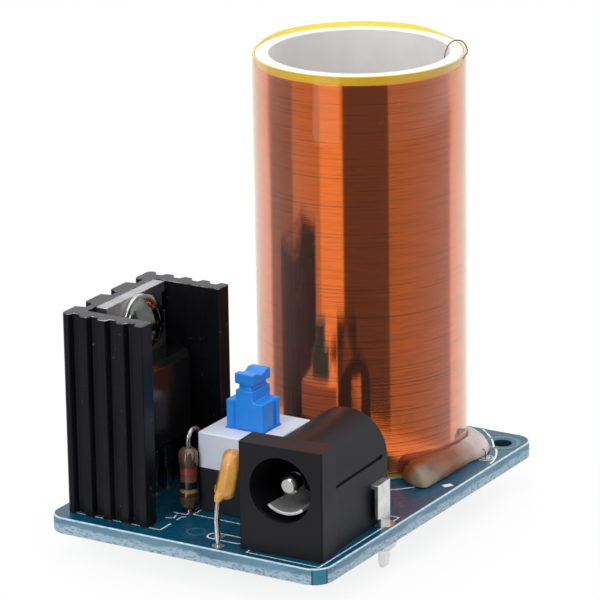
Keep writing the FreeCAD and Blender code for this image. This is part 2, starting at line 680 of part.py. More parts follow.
def make_switch():
    half_x = switch_width / 2
    half_y = switch_depth / 2
    seam = switch_base_height
    flange_x = button_width / 2 + flange_margin
    flange_y = button_depth / 2 + flange_margin
    under_top = switch_height - cover_top_wall
    flange_top = under_top - flange_gap
    flange_low = flange_top - flange_height
    spring_top = flange_low - spring_end_gap
    well_radius = spring_radius + spring_wire_radius + well_margin

    contact_inner = switch_pin_row / 2 - switch_pin_thickness / 2
    contact_outer = switch_pin_row / 2 + switch_pin_thickness / 2
    bridge_mid = contact_inner - bridge_contact_gap - bridge_thickness / 2
    well_inner = bridge_mid - bridge_thickness / 2 - bridge_well_margin
    well_half = switch_pin_pitch + switch_pin_width / 2 + bridge_well_margin

    base = box(-half_x, half_x, -half_y, half_y, 0, seam)
    base = base.cut(rod(0, 0, well_floor, seam, well_radius))
    for side in (-1, 1):
        near, far = side * well_inner, side * contact_outer
        base = base.cut(box(min(near, far), max(near, far), -well_half, well_half,
                            well_floor, seam))
    slot_back = -latch_offset + latch_slot_depth / 2
    slot_front = -latch_offset - latch_slot_depth / 2
    base = base.cut(box(-latch_slot_half_width, latch_slot_half_width, slot_front, slot_back,
                        well_floor, seam))

    terminals = []
    for row in (-1, 1):
        for step in (-1, 0, 1):
            x = row * switch_pin_row / 2
            y = step * switch_pin_pitch
            blade = box(x - switch_pin_thickness / 2, x + switch_pin_thickness / 2,
                        y - switch_pin_width / 2, y + switch_pin_width / 2,
                        -board_thickness - lead_tail, switch_contact_top)
            terminals.append(blade)
            base = base.cut(blade)
            flat_feet.append((switch_place.Base.x + x, switch_place.Base.y + y,
                              switch_pin_thickness, switch_pin_width, 0.0))
    save_switch("switch_base", base)
    save_switch("switch_terminals", Part.makeCompound(terminals))

    cover = box(-half_x, half_x, -half_y, half_y, seam, switch_height)
    rim = [e for e in cover.Edges if e.CenterOfMass.z > seam + edge_match]
    cover = cover.makeFillet(switch_edge, rim)
    cover = cover.cut(box(-half_x + cover_wall, half_x - cover_wall, -half_y + cover_wall,
                          half_y - cover_wall, seam, under_top))
    gap = button_slide_gap
    cover = cover.cut(box(button_side_offset - button_width / 2 - gap,
                          button_side_offset + button_width / 2 + gap,
                          -button_depth / 2 - gap, button_depth / 2 + gap,
                          under_top, switch_height))
    save_switch("switch_cover", cover)

    button = box(-button_width / 2, button_width / 2, -button_depth / 2, button_depth / 2,
                 flange_low, button_top)
    flange = box(-flange_x, flange_x, -flange_y, flange_y, flange_low, flange_top)
    button = button.fuse(flange)
    groove_x = -bar_width / 2 - button_groove / 2
    for side in (-1, 1):
        face = side * button_depth / 2
        inner = face - side * button_groove
        button = button.cut(box(groove_x - button_groove / 2, groove_x + button_groove / 2,
                                min(face, inner), max(face, inner), switch_height, button_top))
        face = side * button_width / 2
        inner = face - side * button_groove
        button = button.cut(box(min(face, inner), max(face, inner), button_groove_place,
                                button_groove_place + 2 * button_groove, switch_height,
                                button_top))
    bar = box(-bar_width / 2, bar_width / 2, -button_depth / 2, button_depth / 2, button_top,
              bar_top)
    neck = box(-bar_width / 2 + neck_inset, bar_width / 2 - neck_inset,
               -button_depth / 2 + neck_inset, button_depth / 2 - neck_inset, bar_top, neck_top)
    head = box(-head_width / 2, head_width / 2, -button_depth / 2, button_depth / 2, neck_top,
               head_top)
    hollow_z = head_top - head_hollow_depth + head_hollow_radius
    head = head.cut(Part.makeCylinder(head_hollow_radius, head_width,
                                      V(-head_width / 2, 0, hollow_z), X_AXIS))
    button = button.fuse(bar).fuse(neck).fuse(head)
    button.translate(V(button_side_offset, 0, 0))
    button = button.cut(box(-latch_slot_half_width, latch_slot_half_width, -flange_y, slot_back,
                            flange_low, flange_top))
    save_switch("switch_button", button.removeSplitter())

    bridges = []
    for side in (-1, 1):
        x = side * bridge_mid
        bridges.append(box(x - bridge_thickness / 2, x + bridge_thickness / 2, -bridge_width / 2,
                           bridge_width / 2, flange_low - bridge_drop, flange_low))
    save_switch("switch_contact_bridges", Part.makeCompound(bridges))

    wire = spring_wire_radius
    coil_low = well_floor + wire
    coil_rise = spring_top - 2 * wire - well_floor
    helix = Part.makeHelix(coil_rise / spring_turns, coil_rise, spring_radius)
    ring = Part.Wire(Part.makeCircle(wire, V(spring_radius, 0, 0), Y_AXIS))
    spring = Part.Wire(helix.Edges).makePipeShell([ring], True, True)
    spring.translate(V(0, 0, coil_low))
    save_switch("switch_return_spring", spring)

    stem_top = flange_low + flange_height / 2
    pin = [
        V(0, latch_hook - latch_offset, latch_foot_z),
        V(0, -latch_offset, latch_foot_z),
        V(0, -latch_offset, stem_top),
    ]
    save_switch("switch_latch_pin", wire_along(pin, latch_wire_bend, latch_wire_radius))


# ---- upright resistor with one lead folded over ----
def make_resistor():
    x = board_left + resistor_left_inset
    y = board_front + resistor_front_inset
    low = board_top + resistor_lift
    high = low + resistor_length
    end, mid = resistor_end_radius, resistor_mid_radius
    waist_low = low + resistor_cap_length
    waist_high = high - resistor_cap_length
    soft = resistor_end_round
    points = [V(x, y, low), V(x + end - soft, y, low), V(x + end, y, low + soft),
              V(x + end, y, waist_low), V(x + mid, y, waist_low + resistor_blend),
              V(x + mid, y, waist_high - resistor_blend), V(x + end, y, waist_high),
              V(x + end, y, high - soft), V(x + end - soft, y, high), V(x, y, high)]
    body = Part.Face(Part.makePolygon(points + [points[0]])).revolve(V(x, y, 0), Z_AXIS, 360)
    save("resistor_body", body)

    turn = math.radians(resistor_loop_turn)
    end_x = x + resistor_pitch * math.cos(turn)
    end_y = y + resistor_pitch * math.sin(turn)
    crest = high + resistor_loop_rise + resistor_pitch / 2
    fold = [V(x, y, high), V(x, y, crest), V(end_x, end_y, crest), V(end_x, end_y, -short_tail)]
    folded = wire_along(fold, resistor_bend, resistor_wire_radius)
    straight = rod(x, y, -short_tail, low, resistor_wire_radius)
    round_feet.append((x, y, resistor_wire_radius))
    round_feet.append((end_x, end_y, resistor_wire_radius))
    save("resistor_leads", Part.makeCompound([straight, folded]))


# ---- dipped capacitor: a rounded cushion leaning on its two leads ----
def make_capacitor():
    """In its own frame the leads stand along X and the body leans towards +Y."""
    half_x = capacitor_width / 2
    half_y = capacitor_thickness / 2
    half_z = capacitor_tall / 2
    body = box(-half_x, half_x, -half_y, half_y, -half_z, half_z)
    corners = [e for e in body.Edges if abs(e.Length - capacitor_thickness) < edge_match]
    body = body.makeFillet(capacitor_corner, corners)
    rim = [e for e in body.Edges if abs(abs(e.CenterOfMass.y) - half_y) < edge_match]
    body = body.makeFillet(capacitor_rim, rim)
    lean = math.radians(capacitor_lean)
    up = V(0, math.sin(lean), math.cos(lean))
    centre = V(0, capacitor_side_offset, capacitor_height)
    body.Placement = FreeCAD.Placement(centre, FreeCAD.Rotation(X_AXIS, -capacitor_lean))
    leads = []
    for side in (-1, 1):
        out = V(side * capacitor_pitch / 2, 0, 0)
        entry = out + V(0, capacitor_entry_offset, capacitor_entry_height)
        route = [out + V(0, 0, -board_thickness - short_tail),
                 out,
                 out + V(0, -capacitor_wire_bow, capacitor_bow_height),
                 entry,
                 entry + up * capacitor_wire_root]
        leads.append(wire_along(route, capacitor_wire_bend, capacitor_wire_radius))
        foot = capacitor_place.multVec(out)
        round_feet.append((foot.x, foot.y, capacitor_wire_radius))
    for lead in leads:
        body = body.cut(lead)
    for name, shape in (("capacitor_body", body), ("capacitor_leads", Part.makeCompound(leads))):
        shape.Placement = capacitor_place.multiply(shape.Placement)
        save(name, shape)


# ---- board and solder, from the feet of everything that stands on it ----
def foot_prism(foot, grow, z0, z1):
    x, y, across, deep, turn = foot
    block = box(-across / 2 - grow, across / 2 + grow, -deep / 2 - grow, deep / 2 + grow, z0, z1)
    block.Placement = FreeCAD.Placement(V(x, y, 0), FreeCAD.Rotation(Z_AXIS, turn))
    return block


def make_board():
    board = box(board_left, board_right, board_front, board_back, 0, board_thickness)
    corners = [e for e in board.Edges if abs(e.Length - board_thickness) < edge_match]
    board = board.makeFillet(board_corner, corners)
    for side in (-1, 1):
        board = board.cut(rod(side * (board_width / 2 - mount_side_inset), 0, 0, board_thickness,
                              mount_hole_radius))
    for x, y, radius in round_feet:
        board = board.cut(rod(x, y, 0, board_thickness, radius + hole_clearance))
    for foot in flat_feet:
        board = board.cut(foot_prism(foot, hole_clearance, 0, board_thickness))
    save("circuit_board", board)


def make_solder():
    joints = []
    for x, y, radius in round_feet:
        cone = Part.makeCone(radius + solder_rim, radius + solder_width, short_solder_height,
                             V(x, y, -short_solder_height), Z_AXIS)
        joints.append(cone.cut(rod(x, y, -short_solder_height, 0, radius)))
    for foot in flat_feet:
        x, y, across, deep, turn = foot
        reach = max(across, deep) / 2
        cone = Part.makeCone(reach + solder_rim, reach + solder_width, solder_height,
                             V(x, y, -solder_height), Z_AXIS)
        room = foot_prism(foot, solder_width, -solder_height, 0)
        joint = cone.common(room)
        joints.append(joint.cut(foot_prism(foot, 0, -solder_height, 0)))
    save("solder_joints", Part.makeCompound(joints))


os.makedirs("parts", exist_ok=True)
make_coil()
make_glue()
make_primary()
make_heat_sink()
make_screw()
make_transistor()
make_jack()
make_switch()
make_resistor()
make_capacitor()
make_board()
make_solder()
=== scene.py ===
import math

import bpy
from mathutils import Matrix, Vector


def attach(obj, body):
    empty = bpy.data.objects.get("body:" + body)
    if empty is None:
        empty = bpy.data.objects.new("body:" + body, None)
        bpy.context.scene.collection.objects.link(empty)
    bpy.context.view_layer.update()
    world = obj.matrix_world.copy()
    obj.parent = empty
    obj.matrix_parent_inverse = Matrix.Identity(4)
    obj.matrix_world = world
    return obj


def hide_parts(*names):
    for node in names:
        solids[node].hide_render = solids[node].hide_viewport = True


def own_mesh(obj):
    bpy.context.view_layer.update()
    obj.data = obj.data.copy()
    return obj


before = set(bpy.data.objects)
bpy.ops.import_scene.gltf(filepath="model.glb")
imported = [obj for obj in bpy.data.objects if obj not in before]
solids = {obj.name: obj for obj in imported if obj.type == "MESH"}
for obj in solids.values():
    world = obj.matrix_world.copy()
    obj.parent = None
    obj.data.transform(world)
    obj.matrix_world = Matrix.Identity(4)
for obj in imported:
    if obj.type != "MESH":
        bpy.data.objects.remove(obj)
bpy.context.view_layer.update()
mm = 0.001


# ---- Circuit board -----------------------------------------------------------------------
# Glass-fibre laminate with a glossy teal-blue solder mask on both faces. Its sawn edge is bare,
# pale and streaky, and a pale blue-white line is painted along the top arris as its highlight.
# Everything else is soldered, screwed or glued to it.

def let_go():
    """Back to object mode with nothing selected."""
    if bpy.context.mode != "OBJECT":
        bpy.ops.object.mode_set(mode="OBJECT")
    bpy.ops.object.select_all(action="DESELECT")


def hold(*pieces):
    """Only these pieces selected, the first of them active."""
    let_go()
    for piece in pieces:
        piece.select_set(True)
    bpy.context.view_layer.objects.active = pieces[0]


def modify(piece, kind, **settings):
    """Adds a modifier and applies it at once."""
    hold(piece)
    added = piece.modifiers.new(kind.lower(), kind)
    for key, value in settings.items():
        setattr(added, key, value)
    bpy.ops.object.modifier_apply(modifier=added.name)


def soften(piece, width, segments=2, smooth=32, corner=30):
    """Small round on every edge sharper than corner degrees, then smooth shading that leaves
    the flat faces flat."""
    if width:
        modify(piece, "BEVEL", width=width * mm, segments=segments, limit_method="ANGLE",
               angle_limit=math.radians(corner), use_clamp_overlap=False,
               face_strength_mode="FSTR_ALL")
    hold(piece)
    bpy.ops.object.shade_smooth_by_angle(angle=math.radians(smooth))
    modify(piece, "WEIGHTED_NORMAL", mode="FACE_AREA", keep_sharp=True,
           use_face_influence=bool(width))


def from_solid(name, solid, weld=0.0005):
    """A joined-up copy of a solid's mesh, to be finished as a piece of its own."""
    let_go()
    piece = solids[solid].copy()
    piece.data = solids[solid].data.copy()
    piece.parent = None
    piece.matrix_world = Matrix.Identity(4)
    piece.name = name
    bpy.context.collection.objects.link(piece)
    hold(piece)
    bpy.ops.object.mode_set(mode="EDIT")
    bpy.ops.mesh.select_all(action="SELECT")
    bpy.ops.mesh.remove_doubles(threshold=weld * mm)
    bpy.ops.mesh.dissolve_limited(angle_limit=math.radians(0.6))
    bpy.ops.object.mode_set(mode="OBJECT")
    piece.data.materials.clear()
    return piece


def settle(piece, body, slot, *replaced):
    """The finished piece rides on its body and stands for its solids."""
    hold(piece)
    bpy.ops.object.transform_apply(location=True, rotation=True, scale=True)
    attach(piece, body)
    if replaced:
        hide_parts(*replaced)


class Field:
    """A shader socket whose sums and products add Math nodes."""

    def __init__(self, tree, socket):
        self.tree = tree
        self.socket = socket

    def add(self, kind, settings=None, values=None, out=0):
        """Any node: its settings first, then the values or links of its sockets."""
        made = self.tree.nodes.new(kind)
        for key, value in (settings or {}).items():
            setattr(made, key, value)
        for key, value in (values or {}).items():
            if isinstance(value, Field):
                self.tree.links.new(value.socket, made.inputs[key])
            else:
                made.inputs[key].default_value = value
        return Field(self.tree, made.outputs[out])

    def maths(self, operation, *values):
        return self.add("ShaderNodeMath", {"operation": operation}, dict(enumerate(values)))

    def __add__(self, other):
        return self.maths("ADD", self, other)

    def __sub__(self, other):
        return self.maths("SUBTRACT", self, other)

    def __rsub__(self, other):
        return self.maths("SUBTRACT", other, self)

    def __mul__(self, other):
        return self.maths("MULTIPLY", self, other)

    def __gt__(self, other):
        return self.maths("GREATER_THAN", self, other)

    def __lt__(self, other):
        return self.maths("LESS_THAN", self, other)

    __radd__ = __add__
    __rmul__ = __mul__

    def held(self):
        """Clamped between 0 and 1."""
        return self.maths("MINIMUM", self.maths("MAXIMUM", self, 0.0), 1.0)

    def between(self, low, high):
        """0 below low, 1 above high, and straight between them."""
        return ((self - low) * (1 / (high - low))).held()

    def stretched(self, x, y, z):
        return self.add("ShaderNodeMapping", {}, {"Vector": self, "Scale": (x, y, z)})

    def noise(self, scale, detail, rough=0.55):
        """Noise with scale features to the millimetre."""
        return self.add("ShaderNodeTexNoise", {}, {
            "Vector": self, "Scale": scale / mm, "Detail": detail, "Roughness": rough})

    def cells(self, scale):
        return self.add("ShaderNodeTexVoronoi", {}, {"Vector": self, "Scale": scale / mm})

    def part(self, axis):
        return self.add("ShaderNodeSeparateXYZ", {}, {0: self}, "XYZ".index(axis))

    def tint(self, low, high):
        """From colour low at 0 to colour high at 1."""
        ends = {6: (*low, 1.0) if isinstance(low, tuple) else low,
                7: (*high, 1.0) if isinstance(high, tuple) else high}
        return self.add("ShaderNodeMix", {"data_type": "RGBA"}, {0: self, **ends}, 2)

    def bump(self, bore_shade, strength):
        """Normal raised by this field times depth millimetres."""
        return self.add("ShaderNodeBump", {},
                        {"Height": self, "Distance": bore_shade * mm, "Strength": strength})


class Finish:
    """A material in the making: its principled shader and the piece's own coordinates."""

    def __init__(self, name):
        self.material = bpy.data.materials.new(name)
        self.material.use_nodes = True
        self.tree = self.material.node_tree
        self.shader = self.tree.nodes["Principled BSDF"]
        self.body = Field(self.tree, self.shader.outputs[0])
        coordinates = self.tree.nodes.new("ShaderNodeTexCoord")
        self.place = Field(self.tree, coordinates.outputs["Object"])

    def put(self, **values):
        """Sets or links the shader's sockets, with _ in a keyword for a space in the name."""
        for key, value in values.items():
            socket = self.shader.inputs[key.replace("_", " ")]
            if isinstance(value, Field):
                self.tree.links.new(value.socket, socket)
            elif isinstance(value, tuple) and len(value) == 3:
                socket.default_value = (*value, 1.0)
            else:
                socket.default_value = value

    def show(self, share, base, over):
        """The surface: from shader base where share is 0 to shader over where it is 1."""
        mixed = self.place.add("ShaderNodeMixShader", {}, {0: share, 1: base, 2: over})
        self.tree.links.new(mixed.socket, self.tree.nodes["Material Output"].inputs["Surface"])

    def on(self, piece):
        """Adds the material to the piece as its next slot."""
        piece.data.materials.append(self.material)


def board_mask(name, tone, deep):
    """Solder mask: glossy lacquer with a faint orange peel and the weave showing through."""
    mask = Finish(name)
    peel = mask.place.noise(0.55, 2.0)
    weave = mask.place.stretched(1, 1, 0.2).cells(1.9)
    mottled = mask.place.noise(0.16, 4.0)
    mask.put(Base_Color=mottled.between(0.3, 0.75).tint(deep, tone),
             Roughness=peel.between(0.3, 0.7) * 0.12 + 0.22,
             Normal=(peel * 0.8 + weave * 0.2).bump(0.02, 0.4), Specular_IOR_Level=0.37)
    return mask


mask_tone = (0.001, 0.074, 0.140)
mask_deep = (0.001, 0.054, 0.108)
edge_pale = (0.36, 0.50, 0.61)
edge_speck = (0.15, 0.22, 0.31)
edge_blue = (0.060, 0.17, 0.25)
edge_covered = (0.13, 0.28, 0.38)
edge_teal = (0.025, 0.20, 0.29)
patch_rim = (0.008, 0.06, 0.09)
# painted shade: the hole walls are coloured near black, darker than the sawn edge, for the shade
# inside the holes
hole_shade_tone = (0.010, 0.040, 0.055)
hole_shade_dark = (0.004, 0.018, 0.026)
# painted highlight: the pale blue-white of the top arris stands for the light it catches
arris_highlight_pale = (0.60, 0.79, 0.87)
arris_highlight_dull = (0.36, 0.56, 0.66)

board_top = 1.7
board_half_width = 15.85
board_front = -40.1
board_back = 3.1
corner_radius = 2.0
corner_x = board_half_width - corner_radius
corner_y = board_front + corner_radius
corner_reach = 1.84          # from the corner's centre to the teal patch, along its bisector
hole_x = 13.5                # the two mounting holes lie at y = 0
hole_clear = 1.3
edge_zone = 0.4              # faces this near the outline belong to the sawn edge
edge_half = 0.8              # height that parts the top arris from the bottom one
arris_round = 0.13
mask_slot, sawn_slot, wall_slot, arris_slot = range(4)

board = from_solid("circuit_board_laminate", "circuit_board")
board_mask("teal_solder_mask", mask_tone, mask_deep).on(board)
sawn = Finish("sawn_glass_fibre_edge")
split = sawn.place.stretched(0.5, 0.5, 1.2).noise(0.5, 3.0)
specks = sawn.place.stretched(0.7, 0.7, 1.6).noise(3.4, 4.0, 0.65)
streaks = sawn.place.stretched(0.3, 0.3, 4.0).noise(1.0, 3.0)
drift = sawn.place.noise(0.12, 2.0)
torn = specks.between(0.50, 0.62).tint(edge_pale, edge_speck)
smooth_half = (sawn.place.part("Z") + (split - 0.5) * (1.5 * mm)).between(0.75 * mm, 1.0 * mm)
covered = drift.between(0.35, 0.65).tint(edge_blue, edge_covered)
corner_way = (sawn.place.part("X") - corner_x * mm - sawn.place.part("Y")
              + corner_y * mm) * 0.7071
patch = corner_way.between((corner_reach - 0.03) * mm, corner_reach * mm)
rim_of_patch = patch * (1 - corner_way.between((corner_reach + 0.03) * mm,
                                               (corner_reach + 0.06) * mm))
edge_tone = patch.tint((smooth_half * 0.9 + (streaks - 0.5) * 0.4).held().tint(torn, covered),
                       edge_teal)
sawn.put(Base_Color=rim_of_patch.tint(edge_tone, patch_rim),
         Roughness=specks * 0.25 + 0.38, Normal=(specks * 0.6 + streaks * 0.4).bump(0.06, 0.7))
sawn.on(board)
# Painted shade inside the holes, over faint resin scores.
drilled = Finish("drilled_hole_wall")
resin_scores = drilled.place.stretched(0.5, 0.5, 5.0).noise(1.5, 3.0)
drilled.put(Base_Color=resin_scores.tint(hole_shade_dark, hole_shade_tone),
            Roughness=resin_scores * 0.2 + 0.5, Specular_IOR_Level=0.2,
            Normal=resin_scores.bump(0.03, 0.6))
drilled.on(board)
# Painted highlight along the top arris, patchy.
arris = Finish("arris_painted_highlight")
arris_glint_patches = arris.place.noise(1.2, 3.0)
arris.put(Base_Color=arris_glint_patches.between(0.3, 0.7).tint(arris_highlight_dull, arris_highlight_pale),
          Roughness=arris_glint_patches * 0.2 + 0.25, Normal=arris_glint_patches.bump(0.02, 0.5))
arris.on(board)
soften(board, arris_round, 2, 40, 50)
for face in board.data.polygons:
    x, y, z = face.center / mm
    level = abs(face.normal.z)
    straight = abs(x) > board_half_width - edge_zone \
        or y < board_front + edge_zone or y > board_back - edge_zone
    in_corner = abs(x) > corner_x - 0.05 and (y < corner_y or y > board_back - corner_radius) \
        and math.hypot(abs(x) - hole_x, y) > hole_clear
    outside = straight or in_corner
    if outside and 0.2 < level < 0.97 and z > edge_half:
        face.material_index = arris_slot
    elif level > 0.8:
        face.material_index = mask_slot
    else:
        face.material_index = sawn_slot if outside else wall_slot
settle(board, "board", "blue_board", "circuit_board")


# ---- Board print -------------------------------------------------------------------------
# Thin white ink round each part's place: plain outlines, rings and short marks. It is
# screened on the mask and stands a few hundredths of a millimetre proud.

ink_width = 0.2
fine_width = 0.12
ink_height = 0.03
ink_lift = 0.01              # of the bead's middle above the mask
ink_white = (0.78, 0.86, 0.88)
ink_thin = (0.50, 0.62, 0.66)
coil_x = 1.55
coil_y = -7.9


def ring_points(x, y, radius, first=0, last=360, steps=64):
    """Points on a ring or on an arc of it, between two bearings in degrees."""
    turn = [math.radians(first + (last - first) * i / steps) for i in range(steps + 1)]
    return [(x + radius * math.cos(t), y + radius * math.sin(t)) for t in turn]


def inked(points, width=ink_width):
    """One printed line: a flattened bead along the points."""
    let_go()
    bpy.ops.curve.primitive_bezier_curve_add(location=(0, 0, 0))
    line = bpy.context.object
    curve = line.data
    curve.splines.clear()
    run = curve.splines.new("POLY")
    run.points.add(len(points) - 1)
    for point, (x, y) in zip(run.points, points):
        point.co = (x * mm, y * mm, 0, 1)
    curve.bevel_depth = width / 2 * mm
    curve.bevel_resolution = 1
    curve.use_fill_caps = True
    hold(line)
    bpy.ops.object.convert(target="MESH")
    line.scale.z = ink_height / width
    line.location.z = (board_top + ink_lift) * mm
    bpy.ops.object.transform_apply(location=True, rotation=True, scale=True)
    return line


def rounded(x0, y0, x1, y1, r):
    """A closed outline between two opposite corners, rounded by r."""
    corners = ((x1 - r, y0 + r, -90), (x1 - r, y1 - r, 0),
               (x0 + r, y1 - r, 90), (x0 + r, y0 + r, 180))
    points = []
    for x, y, turn in corners:
        points += ring_points(x, y, r, turn, turn + 90, 8)
    return points + [points[0]]


coil_arcs = [
    [(15.45, -6.1), (15.32, -5.2), (15.05, -4.3), (14.70, -3.4), (14.25, -2.55), (13.75, -1.8)]
    + ring_points(coil_x, coil_y, 13.42, 28, 52, 20),
    ring_points(coil_x, coil_y, 13.15, -84, -34, 24)]
sink_outline = [(-3.65, -36.3), (-3.65, -38.2), (-14.2, -38.2), (-14.2, -22.3), (-3.65, -22.3),
                (-3.65, -33.4), (-5.2, -33.4)]
resistor_marks = [
    [(-5.0, -35.1), (-4.3, -34.7), (-4.45, -33.95)],
    [(-3.7, -35.05), (-3.75, -34.1), (-3.3, -34.0)]]
switch_outline = [(-3.08, -31.6), (-3.08, -33.0), (4.8, -33.05), (4.8, -22.9), (-3.08, -22.9),
                  (-3.08, -23.4)]
socket_outline = [(6.88, -38.5), (6.88, -39.2), (15.02, -39.25), (15.02, -24.0), (6.3, -23.9)]
capacitor_outline = rounded(1.2, -37.7, 5.4, -36.15, 0.7)
cross_strokes = [[(-13.2, -20.5), (-9.2, -20.5)], [(-11.2, -21.6), (-11.2, -19.4)]]
wire_pad_ring = ring_points(14.2, -4.8, 0.8)
smudge = [(14.5, -14.2), (15.0, -13.3)]
smudge_width = 0.7

lines = coil_arcs + [sink_outline] + resistor_marks + [
    switch_outline, socket_outline, capacitor_outline] + cross_strokes
strokes = [inked(points) for points in lines]
strokes += [inked(wire_pad_ring, fine_width), inked(smudge, smudge_width)]
hold(*strokes)
bpy.ops.object.join()
printed = bpy.context.object
printed.name = "board_print"
white_ink = Finish("white_screen_ink")
grain = white_ink.place.noise(2.5, 2.0)
white_ink.put(Base_Color=grain.between(0.35, 0.6).tint(ink_thin, ink_white),
              Roughness=0.55, Normal=grain.bump(0.01, 0.4))
white_ink.on(printed)
soften(printed, 0)
settle(printed, "board", "blue_board")

copper_rings = (             # (x, y, radius, width) of a test pad and the two mounting holes
    (-0.3, -36.85, 0.92, 0.18), (hole_x, 0.0, 1.75, 0.5), (-hole_x, 0.0, 1.75, 0.5))
hold(*[inked(ring_points(x, y, radius), width) for x, y, radius, width in copper_rings])
bpy.ops.object.join()
masked_ring = bpy.context.object
masked_ring.name = "copper_rings_under_mask"
board_mask("mask_over_rings", (0.040, 0.180, 0.235), (0.030, 0.140, 0.195)).on(masked_ring)
soften(masked_ring, 0)
settle(masked_ring, "board", "blue_board")


# ---- Solder, pads and tracks ---------------------------------------------------------------
# Each lead ends under the board in a small bright cone of solder on a round tinned pad, with a
# smaller pad on top. The primary is a flat spiral of copper track under the mask.

def tinned(name, tone, rough, grain_size):
    """Tin-plated metal with a cloudy, slightly brushed skin."""
    tin = Finish(name)
    cloudy = tin.place.noise(grain_size, 4.0)
    fine = tin.place.noise(9.0, 2.0)
    dull = tuple(c * 0.72 for c in tone)
    tin.put(Base_Color=cloudy.between(0.3, 0.7).tint(dull, tone), Metallic=1.0,
            Roughness=cloudy * 0.2 + rough - 0.08,
            Normal=(cloudy * 0.7 + fine * 0.3).bump(0.015, 0.5))
    return tin


solder_tone = (0.72, 0.73, 0.74)
pad_lift = 0.025
pad_margin = 0.10            # of tin beyond the solder
top_pad_share = 0.6          # of the joint's radius below
edge_room = 0.05

joints = from_solid("solder_joints_bright", "solder_joints")
tinned("bright_solder", solder_tone, 0.22, 2.0).on(joints)
hold(joints)
bpy.ops.object.duplicate()
bpy.ops.object.mode_set(mode="EDIT")
bpy.ops.mesh.select_all(action="SELECT")
bpy.ops.mesh.separate(type="LOOSE")
bpy.ops.object.mode_set(mode="OBJECT")
feet = []
for lump in list(bpy.context.selected_objects):
    xs = [v.co.x / mm for v in lump.data.vertices]
    ys = [v.co.y / mm for v in lump.data.vertices]
    feet.append(((min(xs) + max(xs)) / 2, (min(ys) + max(ys)) / 2,
                 max(max(xs) - min(xs), max(ys) - min(ys)) / 2))
    bpy.data.objects.remove(lump)
feet.sort()
soften(joints, 0.03, 2, 60, 40)
settle(joints, "board", "solder", "solder_joints")

pads = []
for x, y, radius in feet:
    for z in (0.0, board_top):
        room = min(board_half_width - abs(x), y - board_front)
        reach = min((top_pad_share * radius if z else radius) + pad_margin, room - edge_room)
        let_go()
        bpy.ops.mesh.primitive_circle_add(vertices=28, radius=reach * mm, fill_type="NGON",
                                          location=(x * mm, y * mm, z * mm))
        pads.append(bpy.context.object)
hold(*pads)
bpy.ops.object.join()
pad = bpy.context.object
pad.name = "tinned_pads"
bpy.ops.object.transform_apply(location=True, rotation=True, scale=True)
modify(pad, "SOLIDIFY", thickness=2 * pad_lift * mm, offset=0.0)
tinned("tinned_pad", solder_tone, 0.34, 1.4).on(pad)
soften(pad, 0)
settle(pad, "board", "solder")

track = from_solid("primary_track_spiral", "primary_track")
board_mask("mask_over_copper", (0.030, 0.150, 0.190), (0.018, 0.110, 0.150)).on(track)
soften(track, 0.03, 1, 40)
settle(track, "board", "copper_track", "primary_track")


# ---- Coil tube -----------------------------------------------------------------------------
# A length of white plastic conduit, sawn square at both ends, standing on the board. Its bore is
# open and shows the foot of the board inside.

def plastic(name, tone, shade, rough, grain, bore_shade, gloss=0.5):
    """Moulded plastic: fine grain in the relief, and a slow drift of colour and gloss."""
    moulded = Finish(name)
    drift = moulded.place.noise(0.25, 3.0)
    pores = moulded.place.noise(grain, 2.0)
    moulded.put(Base_Color=drift.between(0.3, 0.7).tint(shade, tone),
                Roughness=drift * 0.14 + pores * 0.08 + rough - 0.1,
                Normal=pores.bump(bore_shade, 0.6), Specular_IOR_Level=gloss)
    return moulded


former = from_solid("coil_tube", "coil_former", 0.001)
plastic("white_conduit", (0.85, 0.825, 0.81), (0.77, 0.745, 0.73), 0.42, 3.0, 0.008).on(former)
soften(former, 0.12, 3, 40)
settle(former, "board", "white_tube", "coil_former")


# ---- Secondary winding ---------------------------------------------------------------------
# One close layer of fine enamelled copper wire, smooth enough to mirror what stands round it. Its
# turns stand out as fine ridges, with painted shade in short gaps between some of them, more
# towards the foot, and a painted glint along some turns.

winding_foot = 2.45
winding_top = 42.70
winding_outer = 10.58
winding_inner = 10.42
winding_sides = 108
turn_pitch = 0.18
ridge_depth = 0.003
ridge_flank = 0.3            # of the pitch
crowded_below = 11.0         # heights between which the dark gaps get fewer
crowded_above = 27.0
# The brightest wire tone is reached mostly along turns with a painted glint; the gap colour is
# painted shade between turns.
wire_tone_and_glint = (0.98, 0.30, 0.20)
wire_dark = (0.72, 0.180, 0.115)
wire_gap_shade = (0.34, 0.045, 0.018)


def turned(name, profile, x, y, steps):
    """A shape turned about an upright axis, from (radius, height) points in millimetres."""
    let_go()
    bpy.ops.mesh.primitive_plane_add(size=mm, location=(0, 0, 0))
    piece = bpy.context.object
    piece.name = name
    bpy.ops.object.mode_set(mode="EDIT")
    bpy.ops.mesh.select_all(action="SELECT")
    bpy.ops.mesh.merge(type="CENTER")
    r, z = profile[0]
    bpy.ops.transform.translate(value=((x + r) * mm, y * mm, z * mm))
    for next_r, next_z in profile[1:]:
        bpy.ops.mesh.extrude_region_move(
            TRANSFORM_OT_translate={"value": ((next_r - r) * mm, 0, (next_z - z) * mm)})
        r, z = next_r, next_z
    bpy.ops.mesh.select_all(action="SELECT")
    bpy.ops.mesh.spin(steps=steps, angle=math.tau, center=(x * mm, y * mm, 0), axis=(0, 0, 1))
    bpy.ops.mesh.select_all(action="SELECT")
    bpy.ops.mesh.remove_doubles(threshold=0.002 * mm)
    bpy.ops.mesh.normals_make_consistent(inside=False)
    bpy.ops.object.mode_set(mode="OBJECT")
    return piece


